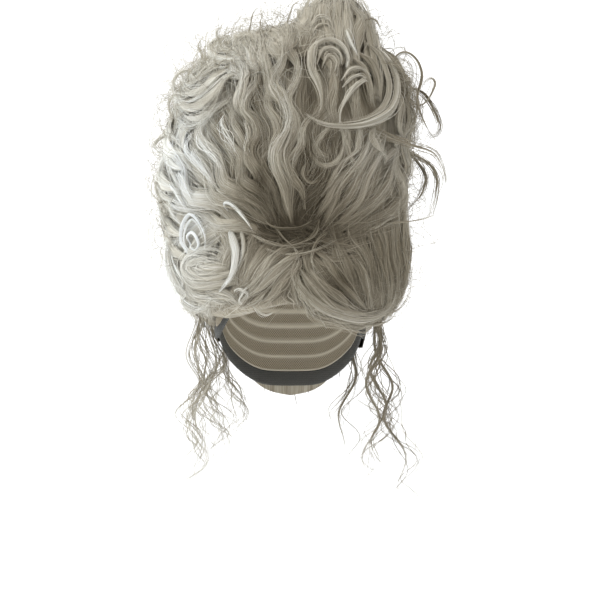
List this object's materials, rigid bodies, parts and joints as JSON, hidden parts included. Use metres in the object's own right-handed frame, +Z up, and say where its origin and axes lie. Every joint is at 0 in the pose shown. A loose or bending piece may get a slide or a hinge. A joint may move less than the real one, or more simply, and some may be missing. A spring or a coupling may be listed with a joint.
{
  "type": "curly updo wig",
  "caption": "Platinum curly updo wig: a net cap with an elastic edge, hair piled high on the crown in curls, a swept fringe and loose wavy tendrils; worn on a head.",
  "frame": {"origin": "inside the top of the cap's crown, where it sits on the top of the wearer's head", "axes": "+Z up, -Y the way the wearer looks, +X to the right as seen from the front"},
  "size_m": [0.2964, 0.2627, 0.5241],
  "materials": {
    "hair": "fine synthetic hair fibre, platinum ash blonde, soft silky sheen",
    "cap_net": "stretch net with sewn rows of weft, matt",
    "elastic": "woven elastic edge band, matt dark grey"
  },
  "bodies": {
    "root": {"cap": "cap_net", "edge_band": "elastic", "crown_hair": "hair", "fringe": "hair", "right_side_hair": "hair", "nape_hair": "hair", "left_side_hair": "hair", "left_tendril_1": "hair", "left_tendril_2": "hair", "left_tendril_3": "hair", "left_tendril_4": "hair", "right_tendril_1": "hair", "right_tendril_2": "hair", "right_tendril_3": "hair", "right_tendril_4": "hair"}
  },
  "joints": []
}
